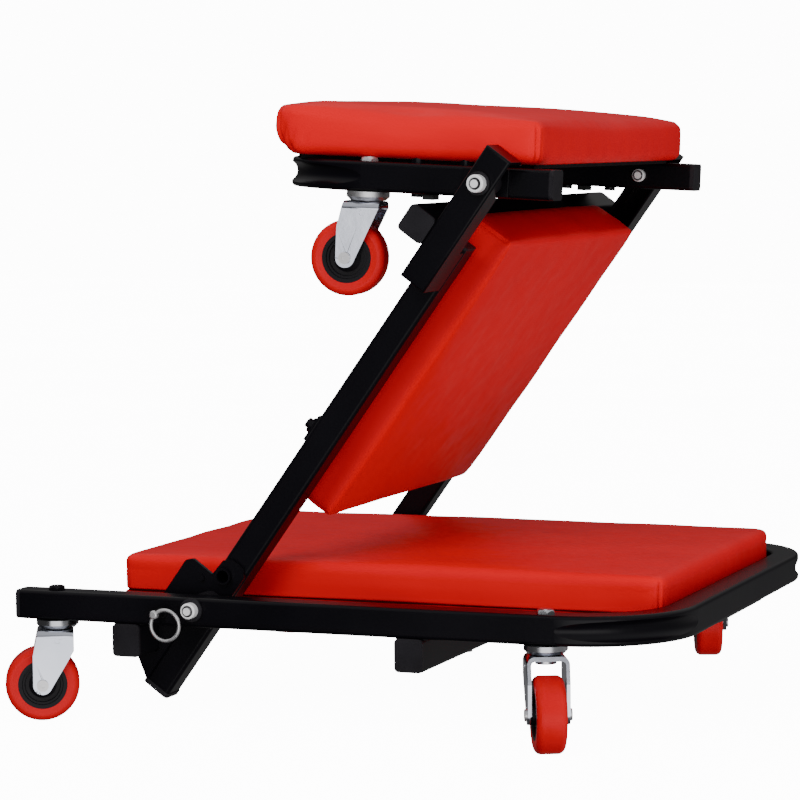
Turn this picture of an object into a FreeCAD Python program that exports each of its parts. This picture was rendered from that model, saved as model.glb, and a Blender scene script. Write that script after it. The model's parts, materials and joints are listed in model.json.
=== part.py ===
import FreeCAD, Part
import math
import os

# Folding workshop creeper, modelled in its seat ("Z") position.
# Millimetres, +Z up. X runs along the base, Y across it. Shapes are first laid
# out from the lower hinge axis and moved to the floor centre at the end.

V = FreeCAD.Vector

# ---------------------------------------------------------------- dimensions
TUBE = 20.0            # square tube, outside
TUBE_R = 2.6           # its corner radius
WALL = 1.8             # its wall
BASE_W = 203.0         # half width over the base side tubes
BASE_LEFT = -131.0     # open ends of the base side tubes
BASE_RIGHT = 332.5     # outside of the base end tube
BASE_BEND = 75.0       # outside radius of the base bends
BASE_Z = 80.0          # centre height of the base tubes
HINGE_Z = 82.0         # height of the lower hinge axis
DENT = 5.0             # pressed-in depth of the outer wall in the bends

ARM_OUT = 170.0        # outer face of the arms
ARM_LEN = 353.0        # lower hinge to upper hinge
ARM_ANGLE = 54.2       # lean of the arms in the seat position
ARM_LOW = -73.2        # arm end below the lower hinge
ARM_TOP = 304.5        # arm end at the upper hinge

CHANNEL_OUT = 198.5    # outer face of the upper hinge channels
CHANNEL_T0 = 272.5
CHANNEL_T1 = 374.0
CROSS_T = 306.5        # centre of the upper cross tube along the arms

SEAT_W = 173.0         # half width over the seat side tubes
SEAT_LEFT = -167.5     # outside of the seat bend, from the upper hinge
SEAT_RIGHT = 39.0      # open ends of the seat tubes, from the upper hinge
SEAT_BEND = 75.0
SEAT_TILT = 2.9        # seat leans this much, hinge end down

CROSS_L = -50.0        # base cross tubes, centres along X
CROSS_M = 156.5
CROSS_H = 22.5         # their height
PIN_X, PIN_Z = -22.3, 79.5     # lock pin axis
PIN_R = 3.95

WHEEL_R = 25.5
WHEEL_W = 20.0
HUB_R = 16.9
TRAIL = 11.0
AXLE_DROP = 44.5       # axle below the tube underside
KNEE_BASE = -21.0      # where the front edge of a fork leg starts to slant
KNEE_SEAT = -11.0

BASE_STEMS = [(-107.0, -193.0, 208.0), (248.5, -193.0, -64.0),
              (-107.0, 193.0, 90.0), (248.5, 193.0, 110.0)]
SEAT_STEM_U = -90.5
SEAT_STEMS = [(SEAT_STEM_U, -163.0, 187.0), (SEAT_STEM_U, 163.0, 180.0)]

P1 = V(0, 0, HINGE_Z)
TH = math.radians(ARM_ANGLE)
P2 = V(ARM_LEN * math.cos(TH), 0, HINGE_Z + ARM_LEN * math.sin(TH))


# ------------------------------------------------------------------- helpers
def box(x0, x1, y0, y1, z0, z1):
    return Part.makeBox(x1 - x0, y1 - y0, z1 - z0, V(x0, y0, z0))


def cyl(r, p0, p1):
    d = p1.sub(p0)
    return Part.makeCylinder(r, d.Length, p0, d)


def cyl_y(r, x, z, y0, y1):
    return cyl(r, V(x, min(y0, y1), z), V(x, max(y0, y1), z))


def cyl_z(r, x, y, z0, z1):
    return cyl(r, V(x, y, z0), V(x, y, z1))


def rr_face(b, h, r):
    # rounded rectangle around the origin in the XY plane
    x, y = b / 2.0, h / 2.0
    k = r * (1 - math.sqrt(0.5))
    e = [Part.makeLine(V(-x + r, -y, 0), V(x - r, -y, 0)),
         Part.Arc(V(x - r, -y, 0), V(x - k, -y + k, 0), V(x, -y + r, 0)).toShape(),
         Part.makeLine(V(x, -y + r, 0), V(x, y - r, 0)),
         Part.Arc(V(x, y - r, 0), V(x - k, y - k, 0), V(x - r, y, 0)).toShape(),
         Part.makeLine(V(x - r, y, 0), V(-x + r, y, 0)),
         Part.Arc(V(-x + r, y, 0), V(-x + k, y - k, 0), V(-x, y - r, 0)).toShape(),
         Part.makeLine(V(-x, y - r, 0), V(-x, -y + r, 0)),
         Part.Arc(V(-x, -y + r, 0), V(-x + k, -y + k, 0), V(-x + r, -y, 0)).toShape()]
    return Part.Face(Part.Wire(e))


def face_on(face, origin, xdir, ydir, zdir):
    f = face.copy()
    f.Placement = FreeCAD.Placement(origin, FreeCAD.Rotation(xdir, ydir, zdir, "ZXY"))
    return f


def bar_x(x0, x1, yc, zc, b, h, r):
    f = face_on(rr_face(b, h, r), V(x0, yc, zc), V(0, 1, 0), V(0, 0, 1), V(1, 0, 0))
    return f.extrude(V(x1 - x0, 0, 0))


def bar_y(y0, y1, xc, zc, b, h, r):
    f = face_on(rr_face(b, h, r), V(xc, y0, zc), V(0, 0, 1), V(1, 0, 0), V(0, 1, 0))
    return f.extrude(V(0, y1 - y0, 0))


def tube_y(y0, y1, xc, zc, h=TUBE):
    return bar_y(y0, y1, xc, zc, h, TUBE, TUBE_R).cut(
        bar_y(y0 - 1, y1 + 1, xc, zc, h - 2 * WALL, TUBE - 2 * WALL, 1.0))


def tube_x(x0, x1, yc, zc):
    return bar_x(x0, x1, yc, zc, TUBE, TUBE, TUBE_R).cut(
        bar_x(x0 - 1, x1 + 1, yc, zc, TUBE - 2 * WALL, TUBE - 2 * WALL, 1.0))


def poly_y(pts, y0, y1):
    # pts in XZ, extruded along Y
    w = Part.makePolygon([V(x, y0, z) for x, z in pts] + [V(pts[0][0], y0, pts[0][1])])
    return Part.Face(w).extrude(V(0, y1 - y0, 0))


def hex_y(af, x, z, y0, y1):
    r = af / math.sqrt(3)
    return poly_y([(x + r * math.cos(math.radians(60 * i + 30)),
                    z + r * math.sin(math.radians(60 * i + 30))) for i in range(6)], y0, y1)


def hex_z(af, x, y, z0, z1):
    r = af / math.sqrt(3)
    pts = [V(x + r * math.cos(math.radians(60 * i)), y + r * math.sin(math.radians(60 * i)), z0)
           for i in range(7)]
    return Part.Face(Part.makePolygon(pts)).extrude(V(0, 0, z1 - z0))


def mirror_y(s):
    return s.mirror(V(0, 0, 0), V(0, 1, 0))


def both(s):
    return [s, mirror_y(s)]


def fuse(*s):
    return s[0].multiFuse(list(s[1:])).removeSplitter()


def cut(s, *tools):
    return s.cut(Part.makeCompound(list(tools))).removeSplitter()


def u_frame(x_open, x_end, w, rb, zc):
    # U-bent square tube, bend at +X, outer walls of the bends pressed in
    xc = x_end - rb
    yc = -(w - rb)

    def body(b, r, grow, x0):
        side = bar_x(x0, xc, -(w - TUBE / 2), zc, b, b, r)
        end = bar_y(yc, -yc, x_end - TUBE / 2, zc, b, b, r)
        f = face_on(rr_face(b, b, r), V(xc, -(w - TUBE / 2), zc),
                    V(0, 1, 0), V(0, 0, 1), V(1, 0, 0))
        bend = f.revolve(V(xc, yc, zc), V(0, 0, 1), 90)
        s = rb * math.sqrt(0.5)
        m = rb - DENT
        q = s - m
        rho = -(q * q + s * s) / (2 * q)
        k = (m - rho) * math.sqrt(0.5)
        rm = 7.5
        ring = Part.makeTorus(rho + rm, rm + grow, V(xc + k, yc - k, zc), V(0, 0, 1))
        ring = ring.common(box(xc - 0.5, xc + rb + 40, yc - rb - 40, yc + 0.5, zc - 30, zc + 30))
        bend = bend.cut(ring)
        return fuse(side, bend, end, mirror_y(bend), mirror_y(side))

    return body(TUBE, TUBE_R, 0.0, x_open).cut(
        body(TUBE - 2 * WALL, 1.0, WALL, x_open - 1)).removeSplitter()


def plug_x(x_end, sign, yc, zc):
    # push-in plastic tube end with a rounded rim
    rim = bar_x(min(x_end, x_end + sign * 3), max(x_end, x_end + sign * 3), yc, zc, TUBE, TUBE, 3.2)
    stub = bar_x(min(x_end, x_end - sign * 9), max(x_end, x_end - sign * 9), yc, zc,
                 TUBE - 2 * WALL, TUBE - 2 * WALL, 1.0)
    return fuse(rim, stub)


def plug_y(y_end, sign, xc, zc, h=TUBE):
    rim = bar_y(min(y_end, y_end + sign * 2.5), max(y_end, y_end + sign * 2.5), xc, zc, h, TUBE, 3.2)
    stub = bar_y(min(y_end, y_end - sign * 9), max(y_end, y_end - sign * 9), xc, zc,
                 h - 2 * WALL, TUBE - 2 * WALL, 1.0)
    return fuse(rim, stub)


def cushion(x0, x1, hw, z0, z1, corner, top_r, bottom_r, board):
    f = rr_face(x1 - x0, 2 * hw, corner)
    f.translate(V((x0 + x1) / 2.0, 0, z0))
    s = f.extrude(V(0, 0, z1 - z0))
    top = [e for e in s.Edges if e.BoundBox.ZMin > z1 - 1e-6]
    s = s.makeFillet(top_r, top)
    low = [e for e in s.Edges if e.BoundBox.ZMax < z0 + 1e-6]
    s = s.makeFillet(bottom_r, low)
    return s.cut(board)


def on_arm(s):
    c = s.copy()
    c.rotate(V(0, 0, 0), V(0, -1, 0), ARM_ANGLE)
    c.translate(P1)
    return c


def on_seat(s):
    c = s.copy()
    c.rotate(V(0, 0, 0), V(0, 1, 0), SEAT_TILT)
    c.translate(P2)
    return c


NODES = {}


def add(name, shapes):
    NODES[name] = list(shapes) if isinstance(shapes, (list, tuple)) else [shapes]


# ---------------------------------------------------------------- base frame
ZT = BASE_Z + TUBE / 2
ZB = BASE_Z - TUBE / 2
frame = u_frame(BASE_LEFT, BASE_RIGHT, BASE_W, BASE_BEND, BASE_Z)
holes = [cyl_y(4.0, 0, HINGE_Z, -BASE_W - 1, BASE_W + 1),
         cyl_y(4.0, PIN_X, PIN_Z, -BASE_W - 1, -BASE_W + TUBE + 1)]
for x, y, a in BASE_STEMS:
    holes.append(cyl_z(4.0, x, y, ZB - 1, ZT + 1))
add("base_frame", cut(frame, *holes))

cross = []
for xc in (CROSS_L, CROSS_M):
    t = tube_y(-BASE_W + 2.5, BASE_W - 2.5, xc, ZB - CROSS_H / 2, CROSS_H)
    h = [cyl_z(2.5, xc, y, ZB - CROSS_H - 1, ZB + 1) for y in (-95.0, 95.0)]
    cross.append(cut(t, *h))
add("base_cross_tube_left", cross[0])
add("base_cross_tube_mid", cross[1])
plugs = []
for y in (-1, 1):
    plugs.append(plug_x(BASE_LEFT, -1, y * (BASE_W - TUBE / 2), BASE_Z))
    for xc in (CROSS_L, CROSS_M):
        plugs.append(plug_y(y * (BASE_W - 2.5), y, xc, ZB - CROSS_H / 2, CROSS_H))
add("base_plugs", plugs)
tab = box(288, BASE_RIGHT - 6, -55, 55, ZB - 3, ZB)
add("base_end_tab", cut(tab, *[cyl_z(2.5, 300, y, ZB - 4, ZB + 1) for y in (-35.0, 35.0)]))

bb = box(-79, 306.5, -133, 133, ZB, ZB + 12)
bb = bb.makeFillet(9, [e for e in bb.Edges if abs(e.BoundBox.ZLength - 12) < 1e-6])
screw_at = [(CROSS_L, -95), (CROSS_L, 95), (CROSS_M, -95), (CROSS_M, 95), (300, -35), (300, 35)]
bb_board = cut(bb, *[cyl_z(2.5, x, y, ZB - 1, ZB + 6) for x, y in screw_at])
add("base_board", bb_board)
add("base_pad", cushion(-84, 311, 138, ZB, ZB + 41, 9, 7, 1, bb))
scr = []
for x, y in screw_at:
    low = ZB - CROSS_H if x < 290 else ZB - 3
    scr.append(fuse(cyl_z(2.5, x, y, low, ZB + 6), cyl_z(5.0, x, y, low - 2.5, low)))
add("base_pad_screws", scr)


# ------------------------------------------------------------------- casters
def stem(x, y, zb, tube_h):
    race = Part.makeCone(12.0, 14.5, 2.4, V(x, y, zb - 5.9)).fuse(cyl_z(14.5, x, y, zb - 3.5, zb))
    zt = zb + tube_h
    s = fuse(race, cyl_z(4.0, x, y, zb - 11.0, zt + 3.0),
             cyl_z(7.0, x, y, zb - 12.6, zb - 9.9))
    nut = hex_z(11.0, x, y, zt, zt + 2.6).common(Part.makeCone(7.0, 5.2, 2.6, V(x, y, zt)))
    return [s, cut(nut, cyl_z(4.0, x, y, zt - 1, zt + 12))]


def caster(x, y, zb, angle, knee):
    # fork, axle, tyre and hub with the stem on the local Z axis, trail along +X
    yi, yo = 11.4, 13.9
    outer = box(-30, 40, -yo, yo, -70, -6.4)
    outer = outer.makeFillet(5.0, [e for e in outer.Edges if e.BoundBox.ZMin > -6.5 and e.BoundBox.XLength > 60])
    inner = box(-31, 41, -yi, yi, -71, -9.4)
    inner = inner.makeFillet(2.5, [e for e in inner.Edges if e.BoundBox.ZMin > -9.5 and e.BoundBox.XLength > 60])
    u = outer.cut(inner)
    r = 6.5
    xa, za = TRAIL, -AXLE_DROP
    xl, xr, zk = -10.8, TRAIL + r, knee
    # tangent from the front knee of the leg to the round foot
    dx, dz = xa - xl, za - zk
    d = math.hypot(dx, dz)
    ang = math.atan2(dz, dx) - math.asin(r / d)
    ln = math.sqrt(d * d - r * r)
    tx, tz = xl + ln * math.cos(ang), zk + ln * math.sin(ang)
    foot = Part.Arc(V(tx, -40, tz), V(xa, -40, za - r), V(xr, -40, za)).toShape()
    e = [Part.makeLine(V(xl, -40, -3), V(xl, -40, zk)), Part.makeLine(V(xl, -40, zk), V(tx, -40, tz)), foot,
         Part.makeLine(V(xr, -40, za), V(xr, -40, -24)), Part.makeLine(V(xr, -40, -24), V(xr - 4.5, -40, -3)),
         Part.makeLine(V(xr - 4.5, -40, -3), V(xl, -40, -3))]
    side = Part.Face(Part.Wire(e)).extrude(V(0, 80, 0))
    f = u.common(side)
    f = cut(f, cyl_z(4.05, 0, 0, -20, 0), cyl_y(3.0, xa, za, -40, 40),
            cyl_y(1.8, 0.5, -14.0, -yo - 1, -yo + 0.5), cyl_y(1.8, 0.5, -14.0, yo - 0.5, yo + 1))
    axle = fuse(cyl_y(3.0, xa, za, -yo, yo), cyl_y(4.0, xa, za, -yo - 1.6, -yo), cyl_y(4.0, xa, za, yo, yo + 1.6))
    axle = cut(axle, cyl_y(1.6, xa, za, -yo - 2, -yo - 0.6), cyl_y(1.6, xa, za, yo + 0.6, yo + 2))
    # wheel profile turned about the axle
    h = WHEEL_W / 2

    def turn(pts):
        w = Part.makePolygon([V(xa + rr, yy, za) for rr, yy in pts] + [V(xa + pts[0][0], pts[0][1], za)])
        return Part.Face(w).revolve(V(xa, 0, za), V(0, 1, 0), 360)

    prof = [(HUB_R, -h + 0.4)]
    for i in range(9):
        t = math.radians(-90 + 90 * i / 8.0)
        prof.append((WHEEL_R - 4.5 + 4.5 * math.cos(t), -h + 4.5 + 4.5 * math.sin(t)))
    for i in range(9):
        t = math.radians(90 * i / 8.0)
        prof.append((WHEEL_R - 4.5 + 4.5 * math.cos(t), h - 4.5 + 4.5 * math.sin(t)))
    prof.append((HUB_R, h - 0.4))
    tyre = turn(prof)
    b = 3.06
    hub = turn([(b, -11.0), (7.0, -11.0), (7.0, -9.0), (9.5, -7.0), (12.0, -7.0), (12.4, -8.4), (13.8, -8.4),
                (14.2, -h + 0.4), (HUB_R, -h + 0.4), (HUB_R, h - 0.4), (14.2, h - 0.4), (13.8, 8.4), (12.4, 8.4),
                (12.0, 7.0), (9.5, 7.0), (7.0, 9.0), (7.0, 11.0), (b, 11.0)])
    out = []
    for s in (f, axle, tyre, hub):
        c = s.copy()
        c.rotate(V(0, 0, 0), V(0, 0, 1), angle)
        c.translate(V(x, y, zb))
        out.append(c)
    return out


stems = []
for i, (x, y, a) in enumerate(BASE_STEMS):
    stems += stem(x, y, ZB, TUBE)
    for part, s in zip(("fork", "axle", "tyre", "hub"), caster(x, y, ZB, a, KNEE_BASE)):
        add("caster_%d_%s" % (i + 1, part), s)
add("base_caster_stems", stems)

# --------------------------------------------------------------- lower hinge
bolts, spacers = [], []
b = cyl_y(4.0, 0, HINGE_Z, -BASE_W - 1.6, -ARM_OUT + TUBE + 10.0)
head = cyl_y(5.4, 0, HINGE_Z, -BASE_W - 7.4, -BASE_W - 1.6)
head = head.makeFillet(1.1, [e for e in head.Edges if e.BoundBox.YMax < -BASE_W - 7])
head = head.cut(cyl_y(3.5, 0, HINGE_Z, -BASE_W - 9, -BASE_W - 6.3).cut(cyl_y(2.7, 0, HINGE_Z, -BASE_W - 9, -BASE_W - 6.0)))
head = head.fuse(cyl_y(2.7, 0, HINGE_Z, -BASE_W - 8.4, -BASE_W - 6.6))
bolt = fuse(b, head)
washer = cut(cyl_y(8.0, 0, HINGE_Z, -BASE_W - 1.6, -BASE_W), cyl_y(4.0, 0, HINGE_Z, -BASE_W - 3, -BASE_W + 1))
nut = cut(hex_y(13.0, 0, HINGE_Z, -ARM_OUT + TUBE + 0.3, -ARM_OUT + TUBE + 6.8),
          cyl_y(4.0, 0, HINGE_Z, -ARM_OUT + TUBE - 1, -ARM_OUT + TUBE + 12))
for s in (bolt, nut):
    bolts += both(s)
add("lower_hinge_bolts", bolts)
sp = cut(cyl_y(9.0, 0, HINGE_Z, -BASE_W + TUBE, -ARM_OUT - 3.3), cyl_y(4.0, 0, HINGE_Z, -BASE_W, -ARM_OUT))
add("lower_hinge_spacers", both(sp) + both(washer))

# ---------------------------------------------------------------------- arms
# laid out flat: X along the arm from the lower hinge, Z to its underside
ARM_YC = ARM_OUT - TUBE / 2
BOLT_Y = 157.5                              # brace bolts
pin_t = -PIN_X                              # lock hole for the flat position
pin_o = HINGE_Z - PIN_Z
arm = tube_x(ARM_LOW, ARM_TOP, -ARM_YC, 0)
arm_n = cut(arm, cyl_y(4.05, 0, 0, -ARM_OUT - 1, -ARM_OUT + TUBE + 1),
            cyl_z(3.0, 141, -BOLT_Y, 0, 11),
            cyl_y(4.3, pin_t, pin_o, -ARM_OUT - 1, -ARM_OUT + WALL + 1))
arm_f = cut(mirror_y(arm), cyl_y(4.05, 0, 0, ARM_OUT - TUBE - 1, ARM_OUT + 1),
            cyl_z(3.0, 141, BOLT_Y, 0, 11))
add("arm_near", on_arm(arm_n))
add("arm_far", on_arm(arm_f))
caps = []
for y in (-1, 1):
    low = fuse(bar_x(ARM_LOW - 3.5, ARM_LOW, y * ARM_YC, 0, TUBE + 1.0, TUBE + 1.0, 3.2),
               bar_x(ARM_LOW, ARM_LOW + 9, y * ARM_YC, 0, TUBE - 2 * WALL, TUBE - 2 * WALL, 1.0))
    top = fuse(bar_x(ARM_TOP, ARM_TOP + 2, y * ARM_YC, 0, TUBE, TUBE, 2.6),
               bar_x(ARM_TOP - 9, ARM_TOP, y * ARM_YC, 0, TUBE - 2 * WALL, TUBE - 2 * WALL, 1.0))
    caps += [on_arm(low), on_arm(top)]
add("arm_end_caps", caps)


# lock plate on the outer face of each arm: covers the arm foot, carries the lock
# bosses and butts against the left base cross tube in the seat position
def arm_xz(t, u):
    # arm coordinates to the side view, u to the underside
    return (t * math.cos(TH) - u * math.sin(TH), HINGE_Z + t * math.sin(TH) + u * math.cos(TH))


face_x = CROSS_L + TUBE / 2 + 0.25          # just clear of the cross tube face
low_z = ZB - CROSS_H - 0.6
t_meet = (face_x + 32.0 * math.sin(TH)) / math.cos(TH)
outline = [arm_xz(35, 5.0), arm_xz(35, -5.0), arm_xz(30, -9.6), arm_xz(-15, -9.6), arm_xz(-15, 8.2),
           arm_xz(ARM_LOW, 8.2), (-55.6, 42.5), (-55.6, low_z), (face_x, low_z), arm_xz(t_meet, 32.0),
           arm_xz(13.5, 32.0), arm_xz(17.5, 28.0), arm_xz(17.5, 10.6), arm_xz(30, 9.6)]
plate = poly_y(outline, -ARM_OUT - 3, -ARM_OUT)
plate = plate.makeFillet(3.0, [e for e in plate.Edges if abs(e.BoundBox.YLength - 3) < 1e-6 and e.BoundBox.XLength < 1e-6
                               and (e.BoundBox.ZMin > 95 and e.BoundBox.XMin < -5)])
plate = plate.makeFillet(TUBE_R + 0.4, [e for e in plate.Edges if abs(e.BoundBox.YLength - 3) < 1e-6 and e.BoundBox.XLength < 1e-6
                                        and abs(e.BoundBox.XMin - face_x) < 1e-3 and abs(e.BoundBox.ZMin - low_z) < 1e-3])
bx, bz = arm_xz(pin_t, pin_o)
lock_n = fuse(plate, cyl_y(5.6, bx, bz, -ARM_OUT - 7, -ARM_OUT - 3), cyl_y(5.6, PIN_X, PIN_Z, -ARM_OUT - 7, -ARM_OUT - 3))
lock_n = cut(lock_n, cyl_y(4.3, bx, bz, -ARM_OUT - 12, -ARM_OUT + 1), cyl_y(4.3, PIN_X, PIN_Z, -ARM_OUT - 12, -ARM_OUT + 1),
             cyl_y(4.05, 0, HINGE_Z, -ARM_OUT - 5, -ARM_OUT + 1))
# the far plate has no lock, it only stops the arm and ends just above the hinge
lock_f = cut(mirror_y(plate), cyl_y(4.05, 0, HINGE_Z, ARM_OUT - 1, ARM_OUT + 5),
             box(-100, 100, ARM_OUT - 1, ARM_OUT + 5, 93, 200))
sx, sz = arm_xz(10.7, 15.5)
rivets = [cyl_y(2.4, sx, sz, -ARM_OUT - 4.6, -ARM_OUT - 3)]
add("lock_plates", [fuse(lock_n, rivets[0]), lock_f])

# upper hinge channels: web outside, flanges toward the arm
FL = 177.0
web = box(CHANNEL_T0, CHANNEL_T1 + 2.5, -CHANNEL_OUT, -CHANNEL_OUT + 2.5, -10, 10)
fl_under = box(CHANNEL_T0, CHANNEL_T1, -CHANNEL_OUT + 2.5, -FL, 8, 10).fuse(
    box(CHANNEL_T0, ARM_TOP - 1.5, -FL, -ARM_OUT, 8, 10))
lip = [(CHANNEL_T0, -CHANNEL_OUT + 2.5), (356.5, -CHANNEL_OUT + 2.5), (347.0, -FL), (ARM_TOP - 1.5, -FL),
       (ARM_TOP - 1.5, -ARM_OUT), (CHANNEL_T0, -ARM_OUT)]
w = Part.makePolygon([V(a, c, -10) for a, c in lip] + [V(lip[0][0], lip[0][1], -10)])
fl_pad = Part.Face(w).extrude(V(0, 0, 2))
cap = box(CHANNEL_T1, CHANNEL_T1 + 2.5, -CHANNEL_OUT + 2.5, -FL + 1.0, -10, 10)
ch = fuse(web, fl_under, fl_pad, cap)
edges = [e for e in ch.Edges if e.BoundBox.YMax < -CHANNEL_OUT + 1e-6]
ch = ch.makeFillet(1.6, edges)
ch = cut(ch, cyl_y(4.0, ARM_LEN, 0, -CHANNEL_OUT - 1, -CHANNEL_OUT + 4))
add("channel_near", on_arm(ch))
add("channel_far", on_arm(mirror_y(ch)))

uc = tube_y(-CHANNEL_OUT + 2.5, CHANNEL_OUT - 2.5, CROSS_T, 20)
uc = cut(uc, *[cyl_z(2.5, CROSS_T, y, 9, 31) for y in (-95.0, 95.0)])
add("upper_cross_tube", on_arm(uc))
add("upper_cross_plugs", [on_arm(plug_y(y * (CHANNEL_OUT - 2.5), y, CROSS_T, 20)) for y in (-1, 1)])
brace = box(131, 151, -163.5, 163.5, 10, 13)
brace = cut(brace, *([cyl_z(3.0, 141, y, 9, 14) for y in (-BOLT_Y, BOLT_Y)] + [cyl_z(2.5, 141, y, 9, 14) for y in (-95, 95)]))
add("mid_brace", on_arm(brace))
fix = []
for y in (-BOLT_Y, BOLT_Y):
    dome = fuse(cyl_z(3.0, 141, y, 4, 13), cyl_z(5.6, 141, y, 13, 15.4), cyl_z(3.6, 141, y, 15.4, 18.5))
    fix.append(on_arm(dome))
for tt, z0 in ((141, 13), (CROSS_T, 30)):
    for y in (-95, 95):
        fix.append(on_arm(fuse(cyl_z(2.5, tt, y, 4, z0), cyl_z(5.0, tt, y, z0, z0 + 2.5))))
add("mid_fixings", fix)

# the middle board and cushion lie between the arms, cushion side away from the cross tubes
mb = box(92, 317.5, -134, 134, 2, 10)
mb = mb.makeFillet(9, [e for e in mb.Edges if abs(e.BoundBox.ZLength - 8) < 1e-6])
mb_holes = [cyl_z(2.5, tt, y, 4, 12) for tt in (141, CROSS_T) for y in (-95, 95)]
add("mid_board", on_arm(cut(mb, *mb_holes)))
flip = cushion(88, 321, 138, -10, 26.5, 9, 7, 1, mb.copy().mirror(V(0, 0, 0), V(0, 0, 1)))
add("mid_pad", on_arm(flip.mirror(V(0, 0, 0), V(0, 0, 1))))

# --------------------------------------------------------------- upper hinge
hb = []
shank = fuse(cyl_y(4.0, 0, 0, -CHANNEL_OUT - 6.2, -SEAT_W + TUBE + 0.3), cyl_y(3.0, 0, 0, -CHANNEL_OUT - 8.8, -CHANNEL_OUT - 6.2))
hd = cyl_y(4.8, 0, 0, -SEAT_W + TUBE + 0.3, -SEAT_W + TUBE + 4.3)
hd = hd.makeFillet(1.4, [e for e in hd.Edges if e.BoundBox.YMin > -SEAT_W + TUBE + 4.2])
un = cyl_y(5.9, 0, 0, -CHANNEL_OUT - 7.6, -CHANNEL_OUT - 1.6)
un = un.makeFillet(0.9, [e for e in un.Edges if e.BoundBox.YMax < -CHANNEL_OUT - 7.5])
un = cut(un, cyl_y(4.0, 0, 0, -CHANNEL_OUT - 12, -CHANNEL_OUT))
uw = cut(cyl_y(7.8, 0, 0, -CHANNEL_OUT - 1.6, -CHANNEL_OUT), cyl_y(4.0, 0, 0, -CHANNEL_OUT - 3, -CHANNEL_OUT + 1))
uw.translate(P2)
for s in (fuse(shank, hd), un):
    hb += both(s)
hb = [s.copy() for s in hb]
for s in hb:
    s.translate(P2)
add("upper_hinge_bolts", hb)
us = cut(cyl_y(7.8, 0, 0, -CHANNEL_OUT + 2.5, -SEAT_W - 2.8), cyl_y(4.0, 0, 0, -CHANNEL_OUT, -SEAT_W))
us.translate(P2)
add("upper_hinge_spacers", both(us) + both(uw))

# ---------------------------------------------------------------------- seat
sf = u_frame(-SEAT_RIGHT, -SEAT_LEFT, SEAT_W, SEAT_BEND, 0)
sf.rotate(V(0, 0, 0), V(0, 0, 1), 180)
holes = [cyl_y(4.05, 0, 0, -SEAT_W - 1, SEAT_W + 1)]
for x, y, a in SEAT_STEMS:
    holes.append(cyl_z(4.0, x, y, -11, 11))
seat_screws = [(-58, -157.2), (-58, 157.2), (-24, -157.2), (-24, 157.2)]
for x, y in seat_screws:
    holes.append(cyl_z(2.0, x, y, -11, 11))
add("seat_frame", on_seat(cut(sf, *holes)))
add("seat_plugs", [on_seat(plug_x(SEAT_RIGHT, 1, y * (SEAT_W - TUBE / 2), 0)) for y in (-1, 1)])
db = poly_y([(-19, 9), (-23, -9), (12, -9), (12, 9)], -SEAT_W - 2.5, -SEAT_W)
db = cut(db, cyl_y(4.05, 0, 0, -SEAT_W - 4, -SEAT_W + 1))
add("seat_hinge_plates", [on_seat(s) for s in both(db)])
sb = box(-152, 23, -160.5, 160.5, 13.4, 21.4)
sb = sb.makeFillet(19, [e for e in sb.Edges if abs(e.BoundBox.ZLength - 8) < 1e-6])
add("seat_board", on_seat(cut(sb, *[cyl_z(2.0, x, y, 12, 18) for x, y in seat_screws])))
add("seat_pad", on_seat(cushion(-166.5, 28.5, 165, 13.4, 45, 18, 10, 1, sb)))
scr = []
for x, y in seat_screws:
    scr.append(fuse(cyl_z(2.0, x, y, -10, 18), cyl_z(4.0, x, y, -12.5, -10)))
    # stand-off ring between tube and board
    scr.append(cut(cyl_z(5.0, x, y, 10, 13.4), cyl_z(2.0, x, y, 9, 14)))
add("seat_pad_screws", [on_seat(q) for q in scr])
st = []
for i, (x, y, a) in enumerate(SEAT_STEMS):
    st += stem(x, y, -10, TUBE)
    for part, s in zip(("fork", "axle", "tyre", "hub"), caster(x, y, -10, a, KNEE_SEAT)):
        add("caster_%d_%s" % (i + 5, part), on_seat(s))
add("seat_caster_stems", [on_seat(s) for s in st])
add("seat_bumpers", [on_seat(box(-50, -42, y - 6, y + 6, -13.6, -10)) for y in (-163, 163)])

# ------------------------------------------------------- lock pin and ring
PIN_TIP = -ARM_OUT - 7.4
knob = cyl_y(3.0, PIN_X, PIN_Z, -BASE_W - 14.4, -BASE_W - 1.0)
knob = knob.makeFillet(1.2, [e for e in knob.Edges if e.BoundBox.YMax < -BASE_W - 14])
pin = fuse(knob, cyl_y(PIN_R, PIN_X, PIN_Z, -BASE_W - 1.0, PIN_TIP))
ring_y = -BASE_W - 11.3
RING_R, RING_W = 10.4, 1.2
rd = math.radians(-43.0)
cx, cz = PIN_X + RING_R * math.cos(rd), PIN_Z + RING_R * math.sin(rd)
tang = V(-math.sin(rd), 0, math.cos(rd))
hole_c = V(PIN_X, ring_y, PIN_Z)
pin = cut(pin, cyl(1.8, hole_c.add(V(tang.x * 8, 0, tang.z * 8)), hole_c.sub(V(tang.x * 8, 0, tang.z * 8))))
add("lock_pin", pin)
add("pull_ring", Part.makeTorus(RING_R, RING_W, V(cx, ring_y, cz), V(0, 1, 0)))

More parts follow.
